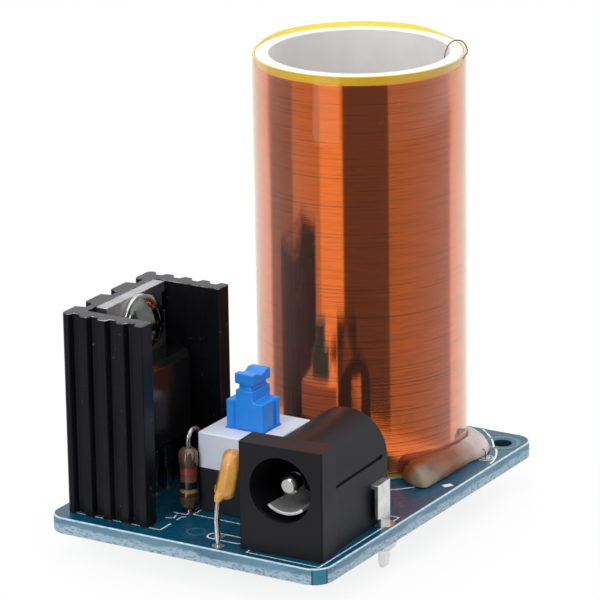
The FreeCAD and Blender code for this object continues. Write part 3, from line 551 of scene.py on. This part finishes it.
turns = int((winding_top - winding_foot) / turn_pitch)
step = (winding_top - winding_foot) / turns
ridges = [(winding_inner, winding_foot)]
for turn in range(turns):
    low = winding_foot + turn * step
    ridges += [(winding_outer - ridge_depth, low), (winding_outer, low + ridge_flank * step),
               (winding_outer, low + (1 - ridge_flank) * step)]
ridges += [(winding_outer - ridge_depth, winding_top), (winding_inner, winding_top), ridges[0]]
winding = turned("secondary_turns", ridges, coil_x, coil_y, winding_sides)
wire = Finish("enamelled_copper_wire")
centred = wire.place.add("ShaderNodeMapping", {"vector_type": "POINT"},
                         {"Vector": wire.place, "Location": (-coil_x * mm, -coil_y * mm, 0)})
rings = centred.stretched(0.0, 0.0, 1.0).noise(5.6, 3.0, 0.75)
broken = centred.stretched(0.14, 0.14, 1.6).noise(1.8, 3.0)
slow = centred.noise(0.05, 2.0)
crowded = 1 - centred.part("Z").between(crowded_below * mm, crowded_above * mm) * 0.6
# Painted shade in the gaps between turns, more towards the foot, and a painted glint along some
# turns, over a slow random tone.
gap_shade_turns = rings.between(0.49, 0.57) * (broken + crowded * 0.05).between(0.43, 0.56)
glint_turns = (1 - rings.between(0.38, 0.48)) * broken.between(0.35, 0.65)
painted_gap_shade = (gap_shade_turns * (crowded * 0.50 + 0.30)).held()
tone = (0.35 + slow * 0.3 + glint_turns * 0.35).held().tint(wire_dark, wire_tone_and_glint)
wire.put(Base_Color=painted_gap_shade.tint(tone, wire_gap_shade), Metallic=0.97,
         Roughness=broken * 0.06 + 0.06, Normal=(rings * broken).bump(0.004, 0.5))
wire.on(winding)
hold(winding)
bpy.ops.object.shade_smooth()
settle(winding, "board", "copper_wire", "secondary_winding")


# ---- Winding tape --------------------------------------------------------------------------
# Clear amber film wrapped over the turns and on to the bare tube at both ends, where it looks
# yellow. It is glossy outside, with a clear adhesive side that holds a few bubbles, and its edge
# stands a hair above the tube's rim.

tape_foot = 2.15
tape_top = 43.62
tape_outer = 10.68
tape_sides = 112
tape_thickness = 0.05
tape_lift = 0.42             # the edge stands up at the back left
lift_start = 11.0            # from the coil's axis to the part that stands up
lift_spread = 7.0
tape_tint = (0.985, 0.805, 0.12)
adhesive_clear = (0.90, 0.80, 0.55)
adhesive_cloudy = (0.75, 0.62, 0.35)
film_slot, adhesive_slot = range(2)

film = turned("amber_tape", [(tape_outer - 0.06, tape_foot), (tape_outer, tape_foot + 0.05),
                             (tape_outer, 12.0), (tape_outer, 22.0), (tape_outer, 32.0),
                             (tape_outer, tape_top - 0.06), (tape_outer - 0.05, tape_top),
                             (tape_outer - 0.22, tape_top)], coil_x, coil_y, tape_sides)
hold(film)
bpy.ops.object.mode_set(mode="EDIT")
bpy.ops.mesh.select_all(action="DESELECT")
bpy.ops.object.mode_set(mode="OBJECT")
for vertex in film.data.vertices:
    back_left = (vertex.co.y - coil_y * mm) - 0.8 * (vertex.co.x - coil_x * mm)
    vertex.select = vertex.co.z > (tape_top - 0.08) * mm and back_left > lift_start * mm
bpy.ops.object.mode_set(mode="EDIT")
bpy.ops.transform.translate(value=(0, 0, tape_lift * mm), use_proportional_edit=True,
                            proportional_edit_falloff="SMOOTH",
                            proportional_size=lift_spread * mm)
bpy.ops.object.mode_set(mode="OBJECT")
modify(film, "SOLIDIFY", thickness=tape_thickness * mm, offset=-1.0)
clear = Finish("amber_film")
waves = clear.place.stretched(1.0, 1.0, 0.35).noise(0.22, 2.0)
clear.put(Base_Color=(1.0, 0.95, 0.93), Metallic=0.60, Roughness=0.05,
          Normal=waves.bump(0.02, 0.4))
through = clear.place.add("ShaderNodeBsdfTransparent", {}, {"Color": (*tape_tint, 1.0)})
grazing = clear.place.add("ShaderNodeLayerWeight", {}, {"Blend": 0.5}, "Facing")
sheen = grazing.maths("POWER", grazing, 1.8) * 0.78 + 0.034
clear.show(sheen, through, clear.body)
clear.on(film)
sticky = Finish("clear_adhesive_side")
bubbles = sticky.place.noise(1.6, 3.0)
sticky.put(Base_Color=bubbles.tint(adhesive_cloudy, adhesive_clear),
           Roughness=bubbles * 0.2 + 0.2, Alpha=bubbles.between(0.66, 0.74) * 0.12)
sticky.on(film)
for face in film.data.polygons:
    outwards = Vector((face.center.x - coil_x * mm, face.center.y - coil_y * mm, 0))
    inner = face.normal.dot(outwards) < 0 and abs(face.normal.z) < 0.9
    face.material_index = adhesive_slot if inner else film_slot
hold(film)
bpy.ops.object.shade_smooth_by_angle(angle=math.radians(50))
settle(film, "board", "clear_tape", "winding_tape")


# ---- Wire ends -----------------------------------------------------------------------------
# The free end of the winding springs over the rim into the bore. The lower end leaves the coil
# above the glue and goes down through its own pad.

enamel_tone = (0.22, 0.15, 0.13)
enamel_dark = (0.10, 0.065, 0.055)

for name, solid in (("coil_wire_top_end", "coil_top_wire"),
                    ("coil_wire_foot_end", "coil_foot_wire")):
    end = from_solid(name, solid)
    enamel = Finish(name + "_enamel")
    scuffs = enamel.place.noise(2.0, 3.0)
    enamel.put(Base_Color=scuffs.between(0.35, 0.65).tint(enamel_dark, enamel_tone),
               Metallic=0.5, Roughness=scuffs * 0.2 + 0.25, Normal=scuffs.bump(0.01, 0.4))
    enamel.on(end)
    soften(end, 0, smooth=60)
    settle(end, "board", "copper_wire", solid)


# ---- Hot-melt glue -------------------------------------------------------------------------
# A bead run along the coil's foot from a glue gun: thick and milky at its start, with the coil's
# brown painted into it near the coil as the coil seen through it, thin and clear over the wire's
# pad, smooth and glossy all over.

milky_tone = (0.42, 0.36, 0.29)
milky_dark = (0.22, 0.175, 0.125)
start_tone = (0.44, 0.35, 0.24)
thin_tone = (0.92, 0.86, 0.86)
# the coil's brown, painted into the bead near the coil where the coil would be seen through it
coil_seen_through_brown = (0.38, 0.095, 0.018)
brown_inner = 12.0           # from the coil's axis: the brown fades from here
brown_outer = 13.5           # and has gone by here
start_end = -8.0             # back from the coil's axis: the thick start lies in front of this
start_fade = -6.2            # and has gone by here
thin_start = -2.5            # the bead thins from here
thin_end = 2.0               # and is thinnest behind this

glue = from_solid("hot_melt_glue_bead", "glue_bead", 0.01)
modify(glue, "REMESH", mode="VOXEL", voxel_size=0.16 * mm)
modify(glue, "SMOOTH", factor=0.7, iterations=24)
modify(glue, "SUBSURF", levels=1, render_levels=1)
melt = Finish("milky_glue")
coil_side = melt.place.add("ShaderNodeMapping", {}, {
    "Vector": melt.place, "Location": (-coil_x * mm, -coil_y * mm, 0)})
flat_way = coil_side.add("ShaderNodeVectorMath", {"operation": "MULTIPLY"},
                         {0: coil_side, 1: (1, 1, 0)})
reach = flat_way.add("ShaderNodeVectorMath", {"operation": "LENGTH"}, {0: flat_way}, 1)
clouds = melt.place.noise(0.7, 3.0)
# Near the coil the glue is painted with the coil's brown, standing for the coil seen through it.
near = 1 - reach.between(brown_inner * mm, brown_outer * mm)
start = 1 - coil_side.part("Y").between(start_end * mm, start_fade * mm)
thin = coil_side.part("Y").between(thin_start * mm, thin_end * mm)
brown = (near * 1.1 + clouds * 0.5 - 0.3 - start * 0.35).held()
milky = clouds.between(0.3, 0.7).tint(milky_dark, milky_tone)
pooled = thin.tint(start.tint(milky, start_tone), thin_tone)
melt.put(Base_Color=(brown * (1 - thin * 0.6)).tint(pooled, coil_seen_through_brown),
         Roughness=clouds * 0.1 + 0.10, Normal=clouds.bump(0.12, 0.5),
         Subsurface_Weight=0.35, Subsurface_Scale=0.0012, Coat_Weight=0.45, Coat_Roughness=0.05,
         IOR=1.48)
seen = melt.place.add("ShaderNodeBsdfTransparent", {}, {"Color": (0.95, 0.92, 0.88, 1.0)})
body_share = (0.50 + thin * 0.12 + start * 0.26 - near * 0.10 + clouds * 0.24).held()
melt.show(body_share, seen, melt.body)
melt.on(glue)
hold(glue)
bpy.ops.object.shade_smooth()
settle(glue, "board", "hot_melt_glue", "glue_bead")


# ---- Heat sink -----------------------------------------------------------------------------
# A sawn length of black anodised aluminium extrusion: a ribbed U that holds the transistor
# against its web. The ends are dull from the saw, and the ribs' corners at the ends are pale,
# partly rubbed a little and partly a painted highlight.

rib_black = (0.0035, 0.0035, 0.005)
rib_worn = (0.009, 0.009, 0.012)
dust_grey = (0.10, 0.10, 0.10)
saw_grey = (0.085, 0.085, 0.09)
saw_dark = (0.05, 0.05, 0.052)
# pale metal on the edges round the ends: partly rubbed bare, partly a painted highlight
bare_metal_and_highlight = (0.62, 0.62, 0.63)
bare_dull = (0.09, 0.09, 0.10)
dyed_slot, end_slot, corner_slot = range(3)

sink = from_solid("finned_heat_sink", "heat_sink")
anodised = Finish("black_anodising")
drawn = anodised.place.stretched(6.0, 6.0, 0.12).noise(1.2, 3.0)
dust = anodised.place.noise(1.1, 5.0, 0.7)
dyed = drawn.between(0.35, 0.75).tint(rib_black, rib_worn)
anodised.put(Base_Color=dust.between(0.66, 0.70).tint(dyed, dust_grey),
             Specular_IOR_Level=0.22, Roughness=drawn * 0.14 + 0.28,
             Normal=drawn.bump(0.008, 0.4))
anodised.on(sink)
cut_end = Finish("sawn_end")
saw = cut_end.place.stretched(0.15, 3.0, 1.0).noise(1.6, 3.0)
cut_end.put(Base_Color=saw.between(0.3, 0.7).tint(saw_dark, saw_grey),
            Metallic=0.5, Roughness=saw * 0.2 + 0.38, Normal=saw.bump(0.02, 0.6))
cut_end.on(sink)
# Partly rubbed metal and partly a painted highlight along the edges round the sawn ends.
rubbed_edge_and_highlight = Finish("rubbed_corner_and_painted_highlight")
bare_and_glint_patches = rubbed_edge_and_highlight.place.noise(1.6, 4.0, 0.7)
rubbed_edge_and_highlight.put(Base_Color=bare_and_glint_patches.between(0.46, 0.62).tint(bare_dull, bare_metal_and_highlight),
         Metallic=0.7, Roughness=bare_and_glint_patches * 0.2 + 0.3, Normal=bare_and_glint_patches.bump(0.02, 0.6))
rubbed_edge_and_highlight.on(sink)
soften(sink, 0.11, 2, 35, 32)
for face in sink.data.polygons:
    level = abs(face.normal.z)
    face.material_index = end_slot if level > 0.9 else corner_slot if level > 0.2 else dyed_slot
settle(sink, "board", "black_anodised", "heat_sink")


# ---- Power transistor ----------------------------------------------------------------------
# A plated copper tab with a notch each side, a black epoxy body moulded on it, and three flat
# leads with wide shoulders. The body's face has the round mark of its ejector pin.

tab = from_solid("transistor_mounting_tab", "transistor_tab")
tinned("plated_tab", (0.52, 0.53, 0.56), 0.36, 0.8).on(tab)
soften(tab, 0.07, 2, 35)
settle(tab, "board", "tinned_metal", "transistor_tab")

epoxy = from_solid("transistor_epoxy_body", "transistor_body")
plastic("black_epoxy", (0.007, 0.0065, 0.007), (0.005, 0.005, 0.0055), 0.16, 6.0, 0.004,
        0.8).on(epoxy)
soften(epoxy, 0.12, 3, 35)
settle(epoxy, "board", "moulded_black", "transistor_body")

prongs = from_solid("transistor_lead_frame", "transistor_leads")
tinned("plated_leads", (0.70, 0.71, 0.72), 0.26, 1.0).on(prongs)
soften(prongs, 0.05, 2, 35)
settle(prongs, "board", "tinned_metal", "transistor_leads")


# ---- Heat sink screw and washer ------------------------------------------------------------
# A nickel-plated pan-head screw with a cross recess pulls the tab against the web, over a plain
# washer. Its plating is painted dark, a painted reflection of the dark surroundings, and glossy;
# the washer's is brighter and duller.

# painted reflection: the plating's tone is darkened for the dark surroundings the screw mirrors
screw_darkened_tone = (0.115, 0.125, 0.115)
washer_tone = (0.62, 0.60, 0.57)


def nickel(name, tone, rough):
    """Nickel plate: smooth metal with faint marks and a slow haze."""
    plated = Finish(name)
    marks = plated.place.noise(3.0, 4.0)
    haze = plated.place.noise(0.6, 2.0)
    plated.put(Base_Color=marks.between(0.3, 0.7).tint(tuple(c * 0.8 for c in tone), tone),
               Metallic=1.0, Roughness=haze * 0.16 + rough - 0.05, Normal=marks.bump(0.008, 0.5))
    return plated


screw = from_solid("pan_head_screw", "heat_sink_screw")
nickel("nickel_screw", screw_darkened_tone, 0.16).on(screw)
soften(screw, 0.06, 2, 40, 36)
settle(screw, "board", "nickel_steel", "heat_sink_screw")

washer = from_solid("plain_washer", "screw_washer")
nickel("nickel_washer", washer_tone, 0.24).on(washer)
soften(washer, 0.08, 2, 40)
settle(washer, "board", "nickel_steel", "screw_washer")


# ---- Power socket --------------------------------------------------------------------------
# A moulded housing with a square front, an arched back and a round mouth. A nickel centre pin is
# riveted to the rear terminal, and a springy leaf in the floor of the mouth touches the sleeve.

housing_tone = (0.0100, 0.0100, 0.0135)
housing_shade = (0.0075, 0.0075, 0.0105)
pin_tone = (0.82, 0.81, 0.79)
pin_worn = (0.70, 0.69, 0.67)
# painted shade: the pin darkens into the bore from its tip back
pin_bore_shade = (0.05, 0.05, 0.055)
pin_unshaded_end = -36.6       # the pin's tip is bright up to here,
pin_shade_start = -35.2       # and it is dark from here back
blade_tone = (0.90, 0.90, 0.89)

housing = from_solid("socket_housing", "jack_housing")
plastic("dark_grey_moulding", housing_tone, housing_shade, 0.48, 3.2, 0.014, 0.24).on(housing)
soften(housing, 0.05, 2, 35, 36)
settle(housing, "board", "black_plastic", "jack_housing")

centre_pin = from_solid("socket_centre_pin", "jack_centre_pin")
pin_metal = nickel("nickel_pin", pin_tone, 0.16)
# Painted shade of the bore over the pin's own worn tone, from its tip back.
bore_shade = pin_metal.place.part("Y").between(pin_unshaded_end * mm, pin_shade_start * mm)
pin_metal.put(Base_Color=bore_shade.tint(pin_metal.place.noise(1.5, 2.0).tint(pin_worn, pin_tone),
                                    pin_bore_shade))
pin_metal.on(centre_pin)
soften(centre_pin, 0.05, 2, 40)
settle(centre_pin, "board", "nickel_steel", "jack_centre_pin")

for name, solid, rough in (("socket_rear_terminal", "jack_rear_terminal", 0.26),
                           ("socket_sleeve_terminal", "jack_sleeve_terminal", 0.26),
                           ("socket_side_terminal", "jack_side_terminal", 0.36)):
    blade = from_solid(name, solid)
    tinned(name + "_plating", blade_tone, rough, 1.1).on(blade)
    soften(blade, 0.06, 2, 35)
    settle(blade, "board", "tinned_metal", solid)

leaf = from_solid("socket_sleeve_leaf", "jack_sleeve_spring")
leaf_metal = nickel("nickel_leaf", (0.86, 0.86, 0.86), 0.34)
rubbed = leaf_metal.place.stretched(3.0, 0.3, 1.0).noise(1.8, 3.0)
leaf_metal.put(Roughness=rubbed * 0.3 + 0.36, Metallic=0.7, Normal=rubbed.bump(0.02, 0.6))
leaf_metal.on(leaf)
soften(leaf, 0.04, 2, 30)
settle(leaf, "sleeve_spring", "nickel_steel", "jack_sleeve_spring")


# ---- Push switch ---------------------------------------------------------------------------
# A dark base and a white cover hold a blue button, which a small spring lifts. Bridges on the
# button's flange join the fixed contacts, and a wire pin in a cam track holds it down. The spring
# stands on the base.

switch_base = from_solid("switch_lower_case", "switch_base")
plastic("black_switch_case", (0.013, 0.014, 0.016), (0.009, 0.010, 0.011), 0.4, 4.0, 0.012,
        0.4).on(switch_base)
soften(switch_base, 0.1, 2, 35)
settle(switch_base, "board", "black_plastic", "switch_base")

switch_cover = from_solid("switch_cover_case", "switch_cover")
plastic("white_switch_case", (0.72, 0.755, 0.86), (0.66, 0.70, 0.815), 0.38, 3.5,
        0.01).on(switch_cover)
soften(switch_cover, 0.08, 2, 35, 36)
settle(switch_cover, "board", "white_plastic", "switch_cover")

button = from_solid("switch_push_button", "switch_button")
plastic("blue_button", (0.012, 0.27, 0.86), (0.008, 0.22, 0.76), 0.34, 3.0, 0.012).on(button)
soften(button, 0.13, 3, 35)
settle(button, "button", "blue_plastic", "switch_button")

bridges = from_solid("switch_sliding_contacts", "switch_contact_bridges")
tinned("silvered_contacts", (0.82, 0.81, 0.78), 0.2, 1.5).on(bridges)
soften(bridges, 0.04, 2, 35)
settle(bridges, "button", "tinned_metal", "switch_contact_bridges")

for name, solid, body in (("switch_spring", "switch_return_spring", "board"),
                          ("switch_cam_pin", "switch_latch_pin", "latch_pin")):
    steel = from_solid(name, solid)
    nickel(name + "_steel", (0.60, 0.60, 0.60), 0.22).on(steel)
    soften(steel, 0, smooth=60)
    settle(steel, body, "nickel_steel", solid)
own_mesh(bpy.data.objects["switch_spring"])

pins = from_solid("switch_fixed_contacts", "switch_terminals")
tinned("switch_pin_plating", (0.76, 0.76, 0.75), 0.28, 1.2).on(pins)
soften(pins, 0.04, 2, 35)
settle(pins, "board", "tinned_metal", "switch_terminals")


# ---- Upright resistor ----------------------------------------------------------------------
# A quarter-watt resistor on end: a lacquered bobbin with five coloured bands, one lead straight
# down and the other folded over the top.

# painted shade: the tan lacquer is darkened to the resistor's shaded look
shaded_tan_dark = (0.075, 0.040, 0.020)
shaded_tan_light = (0.115, 0.062, 0.032)
band_wobble = 0.16
bands = (                    # (lower edge, height, colour)
    (3.40, 0.40, (0.055, 0.018, 0.010)), (3.85, 0.32, (0.36, 0.22, 0.06)),
    (4.22, 0.72, (0.008, 0.008, 0.009)), (5.02, 0.62, (0.150, 0.062, 0.042)),
    (5.72, 0.62, (0.300, 0.035, 0.020)))

resistor = from_solid("resistor_bobbin", "resistor_body", 0.002)
lacquer = Finish("tan_lacquer")
runny = lacquer.place.part("Z") + (lacquer.place.noise(0.9, 2.0) - 0.5) * (band_wobble * mm)
# The tan here carries painted shade, varied at random.
paint = lacquer.place.noise(0.8, 3.0).between(0.3, 0.7).tint(shaded_tan_dark, shaded_tan_light)
for low, tall, ink in bands:
    inside = (runny > low * mm) * (runny < (low + tall) * mm)
    paint = inside.tint(paint, ink)
lacquer.put(Base_Color=paint, Roughness=0.26, Coat_Weight=0.8, Coat_Roughness=0.08,
            Normal=lacquer.place.noise(2.0, 2.0).bump(0.02, 0.4))
lacquer.on(resistor)
soften(resistor, 0, smooth=60)
settle(resistor, "board", "tan_lacquer", "resistor_body")

resistor_wire = from_solid("resistor_lead_wires", "resistor_leads")
tinned("resistor_lead_tin", (0.50, 0.50, 0.50), 0.24, 1.3).on(resistor_wire)
soften(resistor_wire, 0, smooth=60)
settle(resistor_wire, "board", "tinned_metal", "resistor_leads")


# ---- Dipped capacitor ----------------------------------------------------------------------
# A small disc dipped in yellow-orange resin, which runs a little way down its two wires. It
# stands on them and leans towards the socket.

resin_runs = (               # (x, y, z, radius) of the resin that ran down to the two wires
    (2.45, -36.85, 6.75, 0.50), (2.30, -36.90, 6.40, 0.38),
    (3.75, -38.95, 6.75, 0.50), (3.62, -39.03, 6.40, 0.38))
dip_thick = (0.76, 0.38, 0.075)
dip_thin = (0.62, 0.28, 0.045)

capacitor = from_solid("capacitor_dipped_disc", "capacitor_body", 0.002)
drops = [capacitor]
for x, y, z, radius in resin_runs:
    let_go()
    bpy.ops.mesh.primitive_uv_sphere_add(segments=24, ring_count=12, radius=radius * mm,
                                         location=(x * mm, y * mm, z * mm))
    drops.append(bpy.context.object)
hold(*drops)
bpy.ops.object.join()
bpy.ops.object.transform_apply(location=True, rotation=True, scale=True)
modify(capacitor, "REMESH", mode="VOXEL", voxel_size=0.1 * mm)
modify(capacitor, "SMOOTH", factor=0.7, iterations=14)
resin = Finish("orange_dip")
thick = resin.place.noise(0.5, 2.0)
resin.put(Base_Color=thick.between(0.3, 0.7).tint(dip_thin, dip_thick),
          Roughness=thick * 0.1 + 0.22, Normal=thick.bump(0.05, 0.4),
          Subsurface_Weight=0.15, Subsurface_Scale=0.0008, Coat_Weight=0.8, Coat_Roughness=0.06)
resin.on(capacitor)
soften(capacitor, 0, smooth=60)
settle(capacitor, "board", "orange_dip", "capacitor_body")

capacitor_wire = from_solid("capacitor_lead_wires", "capacitor_leads")
tinned("capacitor_lead_tin", (0.80, 0.82, 0.84), 0.22, 1.3).on(capacitor_wire)
soften(capacitor_wire, 0, smooth=60)
settle(capacitor_wire, "board", "tinned_metal", "capacitor_leads")


# ---- Table and light -----------------------------------------------------------------------
# A small round white stand, and a studio round it: a white backdrop behind, a tall softbox at the
# front left, soft fill at the sides and a dim room behind the camera. The upright stripes in the
# coil are what it mirrors of the studio below the stand's level.

table_radius = 34.0
table_centre = (0.0, -18.5 * mm, -2.72 * mm)
glow_near = 17.0             # from the stand's centre: shadow shows up to here
glow_far = 33.0              # and the stand is pure white from here on

let_go()
bpy.ops.mesh.primitive_circle_add(vertices=96, radius=table_radius * mm, fill_type="NGON",
                                  location=table_centre)
table = bpy.context.object
table.name = "table_top"
bpy.ops.object.transform_apply(location=True, rotation=True, scale=True)
paper = Finish("table_paper")
fibre = paper.place.noise(0.3, 2.0)
paper.put(Base_Color=fibre.tint((0.74, 0.74, 0.745), (0.78, 0.78, 0.78)), Roughness=0.8,
          Specular_IOR_Level=0.2)
outwards = paper.place.add("ShaderNodeVectorMath", {"operation": "DISTANCE"},
                           {0: paper.place, 1: table_centre}, 1)
rays = paper.tree.nodes.new("ShaderNodeLightPath")
shown = (Field(paper.tree, rays.outputs["Is Camera Ray"])
         + Field(paper.tree, rays.outputs["Is Glossy Ray"])
         + Field(paper.tree, rays.outputs["Is Transmission Ray"])).held()
glow = paper.place.add("ShaderNodeEmission", {}, {"Color": (1.0, 1.0, 1.0, 1.0), "Strength": 1.0})
clean = outwards.between(glow_near * mm, glow_far * mm) * 0.14 + 0.86
paper.show(shown * clean, paper.body, glow)
paper.on(table)

world = bpy.data.worlds.new("studio_surround")
bpy.context.scene.world = world
world.use_nodes = True
surround = world.node_tree
back = surround.nodes["Background"]
heading = Field(surround, surround.nodes.new("ShaderNodeTexCoord").outputs["Generated"])
rays = surround.nodes.new("ShaderNodeLightPath")
bearing = heading.maths("ARCTAN2", heading.part("Y"), heading.part("X")) * (180 / math.pi)
rise = heading.part("Z")


def sector(first, last, blur):
    """1 between two bearings in degrees, fading over blur degrees inside each end."""
    return bearing.between(first, first + blur) * (1 - bearing.between(last - blur, last))


wall_level = 1.45            # levels of light; the sectors below take from it or add to it
softbox_level = 2.4
ceiling_level = 1.8
bulb_level = 24.0
floor_level = 0.42
bulb_way = (-0.027, -0.787, 0.616)

above = rise.between(-0.04, 0.04)
ceiling = rise.between(0.74, 0.86)
softbox = sector(-110, -81, 1.0) * (1 - rise.between(0.70, 0.80))
room = sector(-82, -28, 2.0)
left_fill = sector(-178, -109, 3.0)
right_fill = sector(-31, 60, 4.0)
toward_bulb = heading.add("ShaderNodeVectorMath", {"operation": "DOT_PRODUCT"},
                          {0: heading, 1: bulb_way}, 1)
upper = wall_level - room * 1.32 - left_fill * 1.05 - right_fill * 0.44
upper = upper * (1 - softbox) + softbox * softbox_level
upper = upper * (1 - ceiling) + ceiling * ceiling_level
upper = upper + toward_bulb.between(0.9955, 0.9975) * bulb_level

dim_front = sector(-79, -28, 1.5)
dim_left = 1 - bearing.between(-140, -137)
pale_left = sector(-139, -104, 1.5)
box_foot = sector(-105, -78, 1.5)
lower = floor_level - dim_front * 0.31 - dim_left * 0.16 + pale_left * 0.16 + box_foot * 0.56

level = upper * above + lower * (1 - above)
studio = level.add("ShaderNodeCombineColor", {}, {0: level, 1: level, 2: level})
backdrop = (1 - sector(-178, 58, 6.0)) * (1 - ceiling)
shown = (Field(surround, rays.outputs["Is Camera Ray"])
         + (Field(surround, rays.outputs["Is Glossy Ray"])
            + Field(surround, rays.outputs["Is Transmission Ray"])) * backdrop).held()
surround.links.new(shown.tint(studio, (1.0, 1.0, 1.0)).socket, back.inputs["Color"])
back.inputs["Strength"].default_value = 1.0


# ---- Camera --------------------------------------------------------------------------------
# A long lens on a tripod, a little above the board and to the right of its front. It is tilted
# down and rolled by less than a degree, and its image is shifted by a few pixels.

camera_place = (198.65, -343.09, 141.01)
camera_turn = 31.415         # degrees, as the next two
camera_drop = 17.730
camera_roll = -0.866
frame_pixels = 600           # width of the camera's image, which the next three refer to
focal_pixels = 4013.43
centre_x = 297.60
centre_y = 308.65
sensor = 36.0                # millimetres

bpy.ops.object.camera_add()
camera = bpy.context.object
camera.name = "camera"
camera.matrix_world = (
    Matrix.Translation(Vector(camera_place) * mm)
    @ Matrix.Rotation(math.radians(camera_turn), 4, "Z")
    @ Matrix.Rotation(math.radians(90 - camera_drop), 4, "X")
    @ Matrix.Rotation(math.radians(camera_roll), 4, "Z"))
camera.data.sensor_width = sensor
camera.data.lens = sensor * focal_pixels / frame_pixels
camera.data.shift_x = (frame_pixels / 2 - centre_x) / frame_pixels
camera.data.shift_y = (centre_y - frame_pixels / 2) / frame_pixels
camera.data.clip_start = 0.01
camera.data.clip_end = 10.0
bpy.context.scene.camera = camera
bpy.context.scene.view_settings.view_transform = "Standard"
